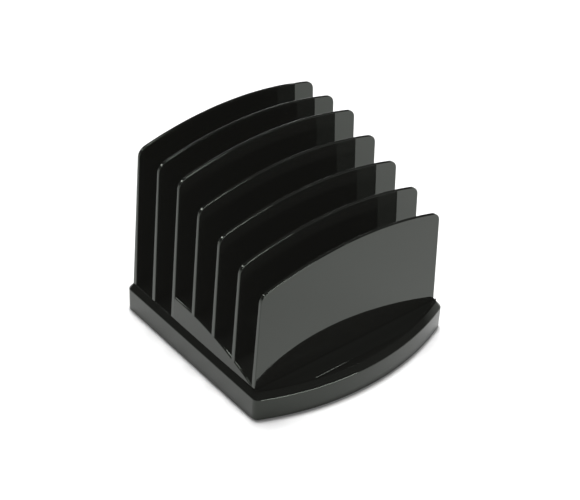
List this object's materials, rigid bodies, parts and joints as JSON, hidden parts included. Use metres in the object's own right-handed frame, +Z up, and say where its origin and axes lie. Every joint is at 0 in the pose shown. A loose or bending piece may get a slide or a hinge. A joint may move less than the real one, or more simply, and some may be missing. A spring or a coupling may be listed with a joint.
{
  "type": "desktop file sorter",
  "caption": "Desktop file sorter with upright dividers that step down towards a bowed front with a shallow tray, on a low hollow base.",
  "frame": {"origin": "on the resting surface, at the bottom centre of the bounding box", "axes": "+X along the dividers, to the right seen from the front; -Y towards the bowed front; +Z up"},
  "size_m": [0.1886, 0.1876, 0.1637],
  "materials": {
    "black_gloss": "high-gloss moulded black",
    "black_matte": "fine matt texture",
    "foot_rubber": "soft matt rubber",
    "screw_steel": "zinc-plated steel"
  },
  "bodies": {
    "root": {"base_shell": "black_gloss", "tier_riser": "black_gloss", "divider_1_rear": "black_gloss", "divider_2": "black_gloss", "divider_3": "black_gloss", "divider_4": "black_gloss", "divider_5": "black_gloss", "divider_6": "black_gloss", "divider_7_front": "black_gloss", "underside_cover": "black_matte", "foot_rear_left": "foot_rubber", "foot_rear_right": "foot_rubber", "foot_front_left": "foot_rubber", "foot_front_right": "foot_rubber", "riser_screws": "screw_steel", "cover_screws": "screw_steel"}
  },
  "joints": []
}
